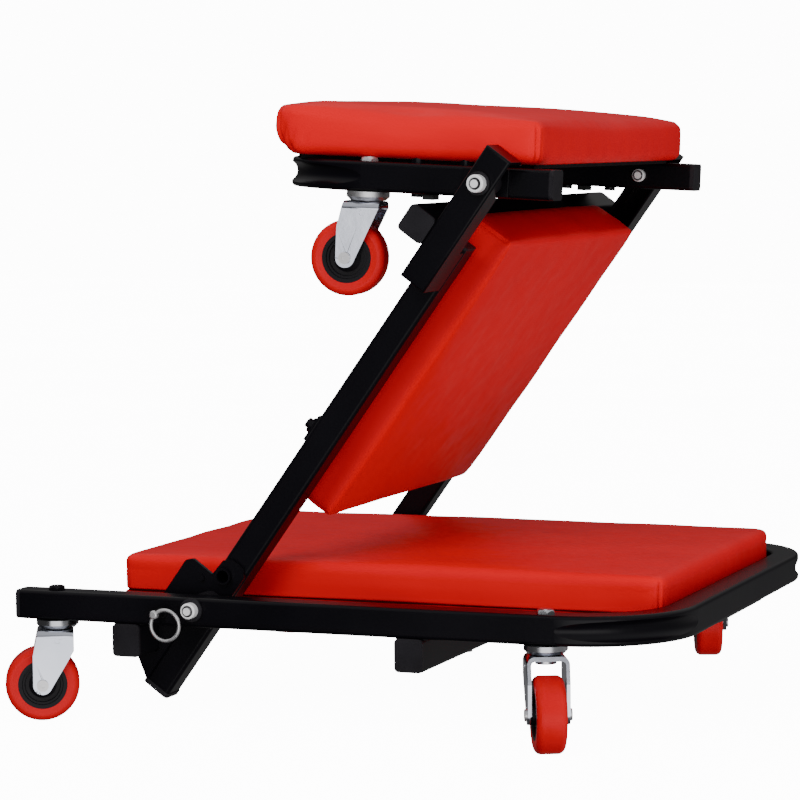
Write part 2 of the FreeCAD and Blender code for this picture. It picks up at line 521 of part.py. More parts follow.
# ----------------------------------------------------- move to floor centre
bbx = Part.makeCompound([s for v in NODES.values() for s in v]).optimalBoundingBox(False, False)
SHIFT = V(-(bbx.XMin + bbx.XMax) / 2.0, -(bbx.YMin + bbx.YMax) / 2.0, -bbx.ZMin)
os.makedirs("parts", exist_ok=True)
for name, shapes in NODES.items():
    moved = []
    for s in shapes:
        c = s.copy()
        c.translate(SHIFT)
        moved += c.Solids
    out = moved[0] if len(moved) == 1 else Part.makeCompound(moved)
    out.exportStep("parts/%s.step" % name)
print("nodes", len(NODES))
print("shift", SHIFT.x, SHIFT.y, SHIFT.z, "box", bbx.XLength, bbx.YLength, bbx.ZLength)
for name, shapes in NODES.items():
    bad = [s for s in shapes if not s.isValid() or s.Volume <= 0]
    n = sum(len(s.Solids) for s in shapes)
    if bad or n != len(shapes):
        print("CHECK", name, "invalid", len(bad), "solids", n, "shapes", len(shapes))
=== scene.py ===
import json
import math
import bpy
import bmesh
import numpy as np
from mathutils import Matrix, Vector, Euler


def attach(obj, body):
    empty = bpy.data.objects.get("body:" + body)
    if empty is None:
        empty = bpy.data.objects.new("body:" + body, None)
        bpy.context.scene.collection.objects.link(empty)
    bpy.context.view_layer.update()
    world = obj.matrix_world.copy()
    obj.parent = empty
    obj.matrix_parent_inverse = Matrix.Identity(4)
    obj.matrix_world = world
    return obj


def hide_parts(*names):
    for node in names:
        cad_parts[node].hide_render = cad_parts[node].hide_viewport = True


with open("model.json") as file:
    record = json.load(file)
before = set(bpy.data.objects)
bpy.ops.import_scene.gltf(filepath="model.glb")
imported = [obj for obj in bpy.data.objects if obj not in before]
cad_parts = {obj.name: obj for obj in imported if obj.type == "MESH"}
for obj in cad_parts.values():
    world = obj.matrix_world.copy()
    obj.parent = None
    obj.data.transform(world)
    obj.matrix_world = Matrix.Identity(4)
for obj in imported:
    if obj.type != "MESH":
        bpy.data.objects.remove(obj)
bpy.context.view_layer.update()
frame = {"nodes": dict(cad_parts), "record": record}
NODES = frame["nodes"]
scene = bpy.context.scene

# ------------------------------------------------------------------ frame data
HINGE = {j["name"]: j["pos_m"] for j in frame["record"]["behaviour"]["joints"] if "fold" in j["name"]}
P1 = Vector(HINGE["lower_fold"])        # hinge axes, in the row frame
P2 = Vector(HINGE["upper_fold"])
SX, SY = P1.x, P1.y
TH = math.atan2(P2.z - P1.z, P2.x - P1.x)
TAU = math.radians(2.9)


def m_arm():
    # arm coordinates: x along the arm, y across, z towards the underside
    return Matrix.Translation(P1) @ Matrix.Rotation(-TH, 4, "Y")


def m_seat():
    return Matrix.Translation(P2) @ Matrix.Rotation(TAU, 4, "Y")


# --------------------------------------------------------------- material tools
def new_mat(name):
    m = bpy.data.materials.new(name)
    m.use_nodes = True
    nt = m.node_tree
    for n in list(nt.nodes):
        nt.nodes.remove(n)
    out = nt.nodes.new("ShaderNodeOutputMaterial")
    bsdf = nt.nodes.new("ShaderNodeBsdfPrincipled")
    nt.links.new(bsdf.outputs["BSDF"], out.inputs["Surface"])
    return m, nt, bsdf


def coords(nt, scale=1.0, stretch=(1, 1, 1)):
    tc = nt.nodes.new("ShaderNodeTexCoord")
    mp = nt.nodes.new("ShaderNodeMapping")
    mp.inputs["Scale"].default_value = [scale * s for s in stretch]
    nt.links.new(tc.outputs["Object"], mp.inputs["Vector"])
    return mp.outputs["Vector"]


def noise(nt, vec, scale, detail=4.0, rough=0.55):
    n = nt.nodes.new("ShaderNodeTexNoise")
    n.inputs["Scale"].default_value = scale
    n.inputs["Detail"].default_value = detail
    n.inputs["Roughness"].default_value = rough
    nt.links.new(vec, n.inputs["Vector"])
    return n.outputs["Fac"]


def voronoi(nt, vec, scale, feature="F1"):
    n = nt.nodes.new("ShaderNodeTexVoronoi")
    n.feature = feature
    n.inputs["Scale"].default_value = scale
    nt.links.new(vec, n.inputs["Vector"])
    return n.outputs["Distance"]


def ramp(nt, fac, stops):
    r = nt.nodes.new("ShaderNodeValToRGB")
    el = r.color_ramp.elements
    while len(el) > 1:
        el.remove(el[-1])
    el[0].position = stops[0][0]
    el[0].color = stops[0][1]
    for p, c in stops[1:]:
        e = el.new(p)
        e.color = c
    nt.links.new(fac, r.inputs["Fac"])
    return r.outputs["Color"]


def maprange(nt, fac, a, b, c, d):
    n = nt.nodes.new("ShaderNodeMapRange")
    n.inputs["From Min"].default_value = a
    n.inputs["From Max"].default_value = b
    n.inputs["To Min"].default_value = c
    n.inputs["To Max"].default_value = d
    nt.links.new(fac, n.inputs["Value"])
    return n.outputs["Result"]


def math_node(nt, op, a, b):
    n = nt.nodes.new("ShaderNodeMath")
    n.operation = op
    for i, v in enumerate((a, b)):
        if isinstance(v, (int, float)):
            n.inputs[i].default_value = v
        else:
            nt.links.new(v, n.inputs[i])
    return n.outputs[0]


def bump(nt, bsdf, height, strength, distance):
    b = nt.nodes.new("ShaderNodeBump")
    b.inputs["Strength"].default_value = strength
    b.inputs["Distance"].default_value = distance
    nt.links.new(height, b.inputs["Height"])
    nt.links.new(b.outputs["Normal"], bsdf.inputs["Normal"])


def rgba(r, g, b):
    return (r, g, b, 1.0)


# ------------------------------------------------------------------- materials
def mat_powder(name="powder_coat_black"):
    m, nt, b = new_mat(name)
    v = coords(nt)
    cloud = noise(nt, v, 9.0, 3.0)
    nt.links.new(ramp(nt, cloud, [(0.3, rgba(0.0016, 0.0013, 0.0024)), (0.7, rgba(0.0030, 0.0025, 0.0042))]),
                 b.inputs["Base Color"])
    fine = noise(nt, v, 420.0, 2.0)
    nt.links.new(maprange(nt, cloud, 0.3, 0.7, 0.27, 0.35), b.inputs["Roughness"])
    b.inputs["Specular IOR Level"].default_value = 0.17
    bump(nt, b, fine, 0.12, 0.0003)
    return m


def mat_plastic(name, lo, hi, r0=0.42, r1=0.58, spec=0.25):
    m, nt, b = new_mat(name)
    v = coords(nt)
    cloud = noise(nt, v, 40.0, 3.0)
    nt.links.new(ramp(nt, cloud, [(0.3, lo), (0.7, hi)]), b.inputs["Base Color"])
    nt.links.new(maprange(nt, cloud, 0.3, 0.7, r0, r1), b.inputs["Roughness"])
    b.inputs["Specular IOR Level"].default_value = spec
    grain = noise(nt, v, 1500.0, 2.0)
    bump(nt, b, grain, 0.18, 0.0002)
    return m


def mat_vinyl(name="vinyl_red", seam=None):
    m, nt, b = new_mat(name)
    v = coords(nt)
    cloud = noise(nt, v, 7.0, 4.0)
    red = ramp(nt, cloud, [(0.25, rgba(0.70, 0.0020, 0.008)), (0.75, rgba(0.78, 0.0030, 0.011))])
    if seam is not None:
        # shaded crease along the stitched line
        sep = nt.nodes.new("ShaderNodeSeparateXYZ")
        nt.links.new(v, sep.inputs[0])
        dz = math_node(nt, "ABSOLUTE", math_node(nt, "SUBTRACT", sep.outputs["Z"], seam), 0.0)
        wob = maprange(nt, noise(nt, v, 16.0, 2.0), 0.3, 0.7, 0.0002, 0.0006)
        mask = maprange(nt, math_node(nt, "SUBTRACT", dz, wob), 0.0, 0.0008, 1.0, 0.0)
        mix = nt.nodes.new("ShaderNodeMix")
        mix.data_type = "RGBA"
        nt.links.new(mask, mix.inputs["Factor"])
        nt.links.new(red, mix.inputs["A"])
        nt.links.new(ramp(nt, cloud, [(0.25, rgba(0.020, 0.0004, 0.0008)), (0.75, rgba(0.045, 0.0006, 0.001))]), mix.inputs["B"])
        red = mix.outputs["Result"]
    nt.links.new(red, b.inputs["Base Color"])
    cells = voronoi(nt, v, 900.0, "DISTANCE_TO_EDGE")
    fine = noise(nt, v, 1800.0, 3.0)
    grain = math_node(nt, "ADD", math_node(nt, "MULTIPLY", cells, 0.8), math_node(nt, "MULTIPLY", fine, 0.5))
    nt.links.new(maprange(nt, noise(nt, v, 60.0, 3.0), 0.3, 0.7, 0.36, 0.46), b.inputs["Roughness"])
    b.inputs["Specular IOR Level"].default_value = 0.08
    bump(nt, b, grain, 0.06, 0.0004)
    return m


def mat_metal(name, lo, hi, r0, r1, scale=80.0, aniso=(1, 1, 1), bs=0.05):
    m, nt, b = new_mat(name)
    v = coords(nt, 1.0, aniso)
    cloud = noise(nt, v, scale, 4.0)
    nt.links.new(ramp(nt, cloud, [(0.3, lo), (0.7, hi)]), b.inputs["Base Color"])
    b.inputs["Metallic"].default_value = 1.0
    nt.links.new(maprange(nt, cloud, 0.3, 0.7, r0, r1), b.inputs["Roughness"])
    bump(nt, b, noise(nt, v, scale * 9, 3.0), bs, 0.0003)
    return m


def mat_tyre(name="tyre_red"):
    m, nt, b = new_mat(name)
    v = coords(nt)
    cloud = noise(nt, v, 55.0, 4.0)
    nt.links.new(ramp(nt, cloud, [(0.3, rgba(0.52, 0.0025, 0.006)), (0.7, rgba(0.60, 0.004, 0.009))]),
                 b.inputs["Base Color"])
    nt.links.new(maprange(nt, cloud, 0.3, 0.7, 0.30, 0.42), b.inputs["Roughness"])
    b.inputs["Specular IOR Level"].default_value = 0.12
    b.inputs["Subsurface Weight"].default_value = 0.05
    b.inputs["Subsurface Radius"].default_value = (0.004, 0.001, 0.001)
    bump(nt, b, noise(nt, v, 700.0, 3.0), 0.06, 0.0003)
    return m


def mat_board(name="board_ply"):
    m, nt, b = new_mat(name)
    v = coords(nt, 1.0, (2.0, 40.0, 40.0))
    g = noise(nt, v, 6.0, 6.0, 0.65)
    nt.links.new(ramp(nt, g, [(0.25, rgba(0.20, 0.12, 0.06)), (0.55, rgba(0.36, 0.24, 0.13)), (0.8, rgba(0.44, 0.31, 0.18))]),
                 b.inputs["Base Color"])
    nt.links.new(maprange(nt, g, 0.2, 0.8, 0.55, 0.75), b.inputs["Roughness"])
    bump(nt, b, g, 0.25, 0.0006)
    return m


def mat_pin(y_tip, name="lock_pin_metal"):
    # plated knob at the outer end, painted shaft behind it
    m, nt, b = new_mat(name)
    v = coords(nt)
    sep = nt.nodes.new("ShaderNodeSeparateXYZ")
    nt.links.new(v, sep.inputs[0])
    tip = maprange(nt, sep.outputs["Y"], y_tip + 0.0030, y_tip + 0.0036, 1.0, 0.0)
    cloud = noise(nt, v, 80.0, 4.0)
    mix = nt.nodes.new("ShaderNodeMix")
    mix.data_type = "RGBA"
    nt.links.new(tip, mix.inputs["Factor"])
    nt.links.new(ramp(nt, cloud, [(0.3, rgba(0.0020, 0.0018, 0.0026)), (0.7, rgba(0.0034, 0.0030, 0.0042))]), mix.inputs["A"])
    nt.links.new(ramp(nt, cloud, [(0.3, rgba(0.74, 0.74, 0.76)), (0.7, rgba(0.90, 0.90, 0.91))]), mix.inputs["B"])
    nt.links.new(mix.outputs["Result"], b.inputs["Base Color"])
    nt.links.new(tip, b.inputs["Metallic"])
    nt.links.new(maprange(nt, cloud, 0.3, 0.7, 0.36, 0.46), b.inputs["Roughness"])
    b.inputs["Specular IOR Level"].default_value = 0.22
    return m


def mat_stem(z_nut_shade, name="base_stem_metal"):
    # plated race below the tube; painted shade: the nut above it is coloured near-black at the open end of the frame (x
    # < 0), where it reads dark, and stays plated at the other end
    m, nt, b = new_mat(name)
    v = coords(nt)
    sep = nt.nodes.new("ShaderNodeSeparateXYZ")
    nt.links.new(v, sep.inputs[0])
    plated_unshaded = maprange(nt, sep.outputs["Z"], z_nut_shade - 0.0006, z_nut_shade + 0.0006, 1.0, 0.0)
    plated_unshaded = math_node(nt, "MAXIMUM", plated_unshaded, maprange(nt, sep.outputs["X"], -0.02, 0.02, 0.0, 1.0))
    cloud = noise(nt, v, 80.0, 4.0)
    mix = nt.nodes.new("ShaderNodeMix")
    mix.data_type = "RGBA"
    nt.links.new(plated_unshaded, mix.inputs["Factor"])
    # A is the painted shade on the nut, B the plating
    nt.links.new(ramp(nt, cloud, [(0.3, rgba(0.0020, 0.0018, 0.0026)), (0.7, rgba(0.0034, 0.0030, 0.0042))]), mix.inputs["A"])
    nt.links.new(ramp(nt, cloud, [(0.3, rgba(0.46, 0.47, 0.50)), (0.7, rgba(0.62, 0.63, 0.66))]), mix.inputs["B"])
    nt.links.new(mix.outputs["Result"], b.inputs["Base Color"])
    nt.links.new(plated_unshaded, b.inputs["Metallic"])
    nt.links.new(maprange(nt, cloud, 0.3, 0.7, 0.22, 0.30), b.inputs["Roughness"])
    b.inputs["Specular IOR Level"].default_value = 0.2
    return m


def mat_hinge_bolt(name, axis):
    # plated nut and bolt end with a shaded ring between them
    m, nt, b = new_mat(name)
    v = coords(nt)
    sep = nt.nodes.new("ShaderNodeSeparateXYZ")
    nt.links.new(v, sep.inputs[0])
    dx = math_node(nt, "SUBTRACT", sep.outputs["X"], axis.x)
    dz = math_node(nt, "SUBTRACT", sep.outputs["Z"], axis.z)
    r = math_node(nt, "SQRT", math_node(nt, "ADD", math_node(nt, "MULTIPLY", dx, dx), math_node(nt, "MULTIPLY", dz, dz)), 0.0)
    ring = math_node(nt, "MULTIPLY", maprange(nt, r, 0.0025, 0.0028, 0.0, 1.0), maprange(nt, r, 0.0038, 0.0041, 1.0, 0.0))
    cloud = noise(nt, v, 80.0, 4.0)
    mix = nt.nodes.new("ShaderNodeMix")
    mix.data_type = "RGBA"
    nt.links.new(ring, mix.inputs["Factor"])
    nt.links.new(ramp(nt, cloud, [(0.3, rgba(0.90, 0.90, 0.92)), (0.7, rgba(0.97, 0.97, 0.98))]), mix.inputs["A"])
    nt.links.new(ramp(nt, cloud, [(0.3, rgba(0.040, 0.038, 0.042)), (0.7, rgba(0.065, 0.062, 0.068))]), mix.inputs["B"])
    nt.links.new(mix.outputs["Result"], b.inputs["Base Color"])
    b.inputs["Metallic"].default_value = 0.25
    nt.links.new(maprange(nt, cloud, 0.3, 0.7, 0.38, 0.48), b.inputs["Roughness"])
    bump(nt, b, noise(nt, v, 720.0, 3.0), 0.05, 0.0003)
    return m


M_BLACK = mat_powder()
M_PLUG = mat_plastic("plug_plastic", rgba(0.007, 0.006, 0.008), rgba(0.012, 0.011, 0.014))
M_HUB = mat_plastic("hub_black", rgba(0.004, 0.0036, 0.005), rgba(0.008, 0.007, 0.009), 0.38, 0.50, 0.18)
M_RUBBER = mat_plastic("rubber_black", rgba(0.012, 0.012, 0.012), rgba(0.022, 0.022, 0.022), 0.6, 0.75)
M_VINYL = mat_vinyl()
M_VINYL_SEAM = mat_vinyl("vinyl_red_seam", 0.0702 + 0.0130)
M_ZINC = mat_metal("zinc_plate", rgba(0.74, 0.74, 0.76), rgba(0.90, 0.90, 0.91), 0.40, 0.50)
M_CHROME = mat_metal("bright_plate", rgba(0.50, 0.525, 0.60), rgba(0.66, 0.69, 0.77), 0.14, 0.20, 12.0, (1, 1, 1), 0.25)
M_TYRE = mat_tyre()
M_BOARD = mat_board()
# black for the dust cover under the seat board and for its walls, which stand in for shade in the gap
M_LINER_AND_GAP_SHADE = mat_plastic("liner_and_gap_shade_black", rgba(0.008, 0.008, 0.009), rgba(0.014, 0.014, 0.015), 0.8, 0.95, 0.08)

BY_SLOT = {"frame_black": M_BLACK, "plug_plastic": M_PLUG, "vinyl_red": M_VINYL, "board": M_BOARD, "zinc": M_ZINC,
           "chrome": M_CHROME, "tyre_red": M_TYRE, "hub_black": M_HUB, "rubber_black": M_RUBBER}
for sp in frame["record"]["subparts"]:
    o = NODES[sp["node"]]
    o.data.materials.clear()
    o.data.materials.append(BY_SLOT[sp["material_slot"]])

# painted shade: the seat board screws and stand-offs in the gap under the seat get the black frame finish so they read
# dark there; the brace fixings get the same black finish
for name in ("seat_pad_screws", "mid_fixings"):
    NODES[name].data.materials.clear()
    NODES[name].data.materials.append(M_BLACK)
for name, axis in (("upper_hinge_bolts", P2), ("lower_hinge_bolts", P1)):
    o = NODES[name]
    o.data.materials.clear()
    o.data.materials.append(mat_hinge_bolt(name + "_metal", o.matrix_world.inverted() @ axis))
STEMS = NODES["base_caster_stems"]
STEMS.data.materials.clear()
STEMS.data.materials.append(mat_stem((STEMS.matrix_world.inverted() @ Vector((0.0, 0.0, 0.080))).z))
PIN = NODES["lock_pin"]
PIN.data.materials.clear()
PIN.data.materials.append(mat_pin(min(v.co.y for v in PIN.data.vertices)))

# soft edges on pressed plates, forks and plastic plugs
for name, width in (("channel_near", 0.0005), ("channel_far", 0.0005), ("lock_plates", 0.0005), ("mid_brace", 0.0005),
                    ("seat_hinge_plates", 0.0004), ("base_end_tab", 0.0005), ("base_plugs", 0.0009), ("seat_plugs", 0.0009),
                    ("upper_cross_plugs", 0.0009), ("arm_end_caps", 0.0009), ("seat_bumpers", 0.0008),
                    ("caster_1_fork", 0.0005), ("caster_2_fork", 0.0005), ("caster_3_fork", 0.0005),
                    ("caster_4_fork", 0.0005), ("caster_5_fork", 0.0005), ("caster_6_fork", 0.0005)):
    o = NODES[name]
    w = o.modifiers.new("weld", "WELD")
    w.merge_threshold = 0.00002
    b = o.modifiers.new("edge", "BEVEL")
    b.width = width
    b.segments = 2
    b.limit_method = "ANGLE"
    b.angle_limit = math.radians(38)
    b.use_clamp_overlap = True


# -------------------------------------------------------------------- cushions
def rr_outline(L, W, rl, rr, n_arc=10, n_l=26, n_w=20):
    # rl and rr are the corner radii at the low and the high X end
    pts = []
    hx, hy = L / 2, W / 2

    def line(a, b, n):
        for i in range(n):
            t = i / n
            pts.append((a[0] + (b[0] - a[0]) * t, a[1] + (b[1] - a[1]) * t))

    def arc(cx, cy, a0, rc):
        for i in range(n_arc):
            a = math.radians(a0 + 90.0 * i / n_arc)
            pts.append((cx + rc * math.cos(a), cy + rc * math.sin(a)))

    arc(hx - rr, hy - rr, 0, rr)
    line((hx - rr, hy), (-hx + rl, hy), n_l)
    arc(-hx + rl, hy - rl, 90, rl)
    line((-hx, hy - rl), (-hx, -hy + rl), n_w)
    arc(-hx + rl, -hy + rl, 180, rl)
    line((-hx + rl, -hy), (hx - rr, -hy), n_l)
    arc(hx - rr, -hy + rr, 270, rr)
    line((hx, -hy + rr), (hx, hy - rr), n_w)
    return pts


def block_mesh(L, W, H, rl, rr, rt, rb):
    # closed block with rounded corners and edges, z from 0 to H
    bm = bmesh.new()
    prof = []
    for i in range(5):
        a = math.radians(90.0 * i / 4)
        prof.append((rb - rb * math.sin(a), rb - rb * math.cos(a)))
    for i in range(8):
        a = math.radians(90.0 * i / 7)
        prof.append((rt - rt * math.cos(a), H - rt + rt * math.sin(a)))
    rings = []
    for inset, z in prof:
        pts = rr_outline(L - 2 * inset, W - 2 * inset, max(rl - inset, 0.001), max(rr - inset, 0.001))
        rings.append([bm.verts.new((x, y, z)) for x, y in pts])
    n = len(rings[0])
    for a, b in zip(rings, rings[1:]):
        for i in range(n):
            bm.faces.new((a[i], a[(i + 1) % n], b[(i + 1) % n], b[i]))
    bm.faces.new(list(reversed(rings[0])))
    bm.faces.new(rings[-1])
    bmesh.ops.recalc_face_normals(bm, faces=bm.faces)
    me = bpy.data.meshes.new("block")
    bm.to_mesh(me)
    bm.free()
    return me


def get_co(me):
    a = np.zeros(len(me.vertices) * 3)
    me.vertices.foreach_get("co", a)
    return a.reshape(-1, 3)


def set_co(me, a):
    me.vertices.foreach_set("co", np.ascontiguousarray(a, dtype=np.float64).ravel())
    me.update()


def get_no(me):
    a = np.zeros(len(me.vertices) * 3)
    me.vertices.foreach_get("normal", a)
    return a.reshape(-1, 3)


def evaluated(o):
    dg = bpy.context.evaluated_depsgraph_get()
    return bpy.data.meshes.new_from_object(o.evaluated_get(dg))


def smooth01(x):
    x = np.clip(x, 0.0, 1.0)
    return x * x * (3 - 2 * x)


def soften(me, d, n):
    # even out a field of vertex offsets over the mesh edges
    e = np.zeros(len(me.edges) * 2, dtype=np.int32)
    me.edges.foreach_get("vertices", e)
    a, b = e[0::2], e[1::2]
    deg = np.bincount(e, minlength=len(d)).astype(float)[:, None]
    for i in range(n):
        acc = np.zeros_like(d)
        np.add.at(acc, a, d[b])
        np.add.at(acc, b, d[a])
        d = 0.4 * d + 0.6 * acc / np.maximum(deg, 1.0)
    return d


def cushion(name, node, body, M, x0, x1, hw, z0, H, rl, rr, rt, press, cap, seed, seam=None, extra=None,
            crisp=0.0, tuck=0.0):
    L, W = x1 - x0, 2 * hw
    o = bpy.data.objects.new(name, block_mesh(L, W, H, rl, rr, rt, 0.0015))
    scene.collection.objects.link(o)
    r = o.modifiers.new("voxels", "REMESH")
    r.mode = "VOXEL"
    r.voxel_size = 0.0042
    me = evaluated(o)
    o.modifiers.clear()
    o.data = me
    co = get_co(me)
    g = o.vertex_groups.new(name="pin")
    g.add([int(i) for i in np.where(co[:, 2] < 0.004)[0]], 1.0, "REPLACE")
    c = o.modifiers.new("cover", "CLOTH")
    s = c.settings
    s.quality = 6
    s.mass = 0.3
    s.use_pressure = True
    s.uniform_pressure_force = press
    s.tension_stiffness = 15
    s.compression_stiffness = 15
    s.shear_stiffness = 5
    s.bending_stiffness = 0.5
    s.effector_weights.gravity = 0
    s.vertex_group_mass = "pin"
    c.collision_settings.use_collision = False
    c.collision_settings.use_self_collision = False
    c.point_cache.frame_start = 1
    c.point_cache.frame_end = 20
    for f in range(1, 21):
        scene.frame_set(f)
    me2 = evaluated(o)
    d = soften(me2, get_co(me2) - co, 10)
    o.modifiers.clear()
    scene.frame_set(1)
    ln = np.linalg.norm(d, axis=1, keepdims=True)
    co = co + d * np.where(ln > 1e-9, cap * np.tanh(ln / cap) / np.maximum(ln, 1e-9), 1.0)
    set_co(o.data, co)
    o.vertex_groups.clear()
    sub = o.modifiers.new("sub", "SUBSURF")
    sub.levels = 1
    sub.render_levels = 1
    me3 = evaluated(o)
    o.modifiers.clear()
    o.data = me3
    # finer mesh where the cover is folded round the corners
    bm = bmesh.new()
    bm.from_mesh(o.data)
    near = []
    for e in bm.edges:
        m = (e.verts[0].co + e.verts[1].co) * 0.5
        if abs(m.x) > L / 2 - 0.034 and abs(m.y) > W / 2 - 0.034 and m.z > 0.001:
            near.append(e)
    bmesh.ops.subdivide_edges(bm, edges=near, cuts=1, use_grid_fill=True, smooth=0.0)
    if seam:
        for k in range(2):
            near = [e for e in bm.edges if abs((e.verts[0].co.z + e.verts[1].co.z) * 0.5 - seam) < 0.0045 - 0.0015 * k
                    and abs(e.verts[0].co.z - e.verts[1].co.z) > 0.0004]
            bmesh.ops.subdivide_edges(bm, edges=near, cuts=1, use_grid_fill=True, smooth=0.0)
    bm.to_mesh(o.data)
    bm.free()
    co = get_co(o.data)
    if tuck:
        # the cover is drawn in under the rounded left end, the foam thins to the right
        t = smooth01((-co[:, 0] - L / 2 + 0.032) / 0.032) * np.clip(1 - co[:, 2] / (0.55 * H), 0, 1) ** 1.6
        co[:, 1] *= 1 - 0.012 * np.clip(1 - co[:, 2] / (0.3 * H), 0, 1) ** 2
        co[:, 2] *= 1.08 - 0.14 * (co[:, 0] / L + 0.5)
        co[:, 0] += tuck * t
        set_co(o.data, co)
    no = get_no(o.data)
    rng = np.random.RandomState(seed)
    # slow swells of the foam under the cover
    d = np.zeros(len(co))
    for k in range(9):
        a = rng.uniform(0, 2 * math.pi)
        wl = rng.uniform(0.05, 0.14)
        d += 0.00008 * np.sin((co[:, 0] * math.cos(a) + co[:, 1] * math.sin(a) + 0.6 * co[:, 2]) * 2 * math.pi / wl
                              + rng.uniform(0, 6.28))
    # the cover is stretched tight over the upper edge
    d += crisp * np.clip(np.hypot(no[:, 0], no[:, 1]) + np.clip(no[:, 2], 0, 1) - 1, 0, 1) * smooth01(no[:, 2] / 0.08)
    # gathers along the tucked lower edge
    per = np.where(np.abs(co[:, 1]) / W > np.abs(co[:, 0]) / L, co[:, 0], co[:, 1])
    fade = np.exp(-np.clip(co[:, 2] - 0.002, 0, 1) / 0.007) * smooth01((co[:, 2]) / 0.004)
    d += 0.0002 * fade * (np.sin(per * 2 * math.pi / 0.031 + rng.uniform(0, 6)) + 0.6 * np.sin(per * 2 * math.pi / 0.019))
    # folds of the cover at the corners
    for sx in (-1, 1):
        for sy in (-1, 1):
            rc = rr if sx > 0 else rl
            cx, cy = sx * (L / 2 - rc), sy * (W / 2 - rc)
            px, py = (co[:, 0] - cx) * sx, (co[:, 1] - cy) * sy
            rad = np.hypot(px, py)
            ang = np.degrees(np.arctan2(py, px))
            inz = smooth01((px + 0.004) / 0.006) * smooth01((py + 0.004) / 0.006)
            onside = smooth01((rad - 0.35 * rc) / (0.5 * rc))
            up = smooth01(co[:, 2] / 0.004)
            j = rng.uniform(-5, 5)
            k = max(1.0, 0.012 / rc)
            main = np.exp(-((ang - 47 - j) / (4.2 * k)) ** 2)
            lip = np.exp(-((ang - 47 + 11 * k - j) / (6.0 * k)) ** 2)
            side = np.exp(-((ang - 72 - j) / (5.0 * k)) ** 2) + np.exp(-((ang - 16 - j) / (5.0 * k)) ** 2)
            h = co[:, 2] / H
            d -= inz * onside * up * (0.0017 * main * smooth01((1.06 - h) / 0.30)
                                      - 0.0008 * lip * smooth01((1.0 - h) / 0.4)
                                      + 0.0007 * side * smooth01((0.75 - h) / 0.5))
    if seam:
        # pinched line where the foam starts, the cover lies on the board below it
        wall = smooth01((0.75 - np.abs(no[:, 2])) / 0.3)
        line = seam + 0.0002 * np.sin(per * 2 * math.pi / 0.17 + 1.3)
        d -= wall * 0.0014 * np.exp(-((co[:, 2] - line) / 0.0008) ** 2)
        d += wall * 0.0006 * smooth01((line - co[:, 2]) / 0.0015)
    if extra is not None:
        d += extra(co, L, W, H)
    flat = smooth01(co[:, 2] / 0.002)
    # underneath only a rim stays low, the middle lies on the board
    rc = np.where(co[:, 0] < 0, rl, rr)
    px, py = np.abs(co[:, 0]) - (L / 2 - rc), np.abs(co[:, 1]) - (W / 2 - rc)
    rim = np.minimum(L / 2 - np.abs(co[:, 0]), W / 2 - np.abs(co[:, 1]))
    rim = np.where((px > 0) & (py > 0), np.minimum(rim, rc - np.hypot(px, py)), rim)
    lift = 0.0034 * smooth01((rim - 0.0035 - tuck) / 0.0030) * (co[:, 2] < 0.0012) * (no[:, 2] < -0.6)
    co = co + no * (d * flat)[:, None]
    co[:, 2] += lift
    co[:, 0] += (x0 + x1) / 2
    co[:, 2] += z0
    mm = np.array(M)
    co = co @ mm[:3, :3].T + mm[:3, 3]
    set_co(o.data, co)
    for p in o.data.polygons:
        p.use_smooth = True
    o.data.materials.clear()
    o.data.materials.append(M_VINYL_SEAM if seam else M_VINYL)
    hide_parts(node)
    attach(o, body)
    return o


def seat_wrinkles(co, L, W, H):
    # short creases low on the rounded left end of the near side
    d = np.zeros(len(co))
    h = co[:, 2] / H
    near = smooth01((-co[:, 1] - W / 2 + 0.03) / 0.02)
    for x, dep, w, top, lean in ((-L / 2 + 0.011, 0.0013, 0.0022, 0.75, 0.25), (-L / 2 + 0.020, 0.0011, 0.0024, 0.62, 0.30),
                                 (-L / 2 + 0.031, 0.0006, 0.0030, 0.55, 0.35)):
        dx = co[:, 0] - x - lean * (co[:, 2] - 0.4 * H)
        d -= near * dep * np.exp(-(dx / w) ** 2) * smooth01((top - h) / 0.3) * smooth01(h / 0.15)
    return d


M_BASE = Matrix.Translation(Vector((SX, SY, 0.0)))
M_MID = m_arm() @ Matrix.Rotation(math.pi, 4, "X")
cushion("base_cushion", "base_pad", "base", M_BASE, -0.0841, 0.3106, 0.1372, 0.0702, 0.0375, 0.006, 0.008, 0.0045,
        0.5, 0.0024, 11, 0.0130, None, 0.0040)
cushion("back_cushion", "mid_pad", "back", M_MID, 0.0892, 0.3204, 0.1370, -0.0114, 0.0358, 0.005, 0.005, 0.0045,
        0.5, 0.0024, 23, None, None, 0.0040)
cushion("seat_cushion", "seat_pad", "seat", m_seat(), -0.1666, 0.0294, 0.1650, 0.0124, 0.0305, 0.024, 0.008, 0.0075,
        1.3, 0.0042, 37, None, seat_wrinkles, 0.0022, 0.0100)


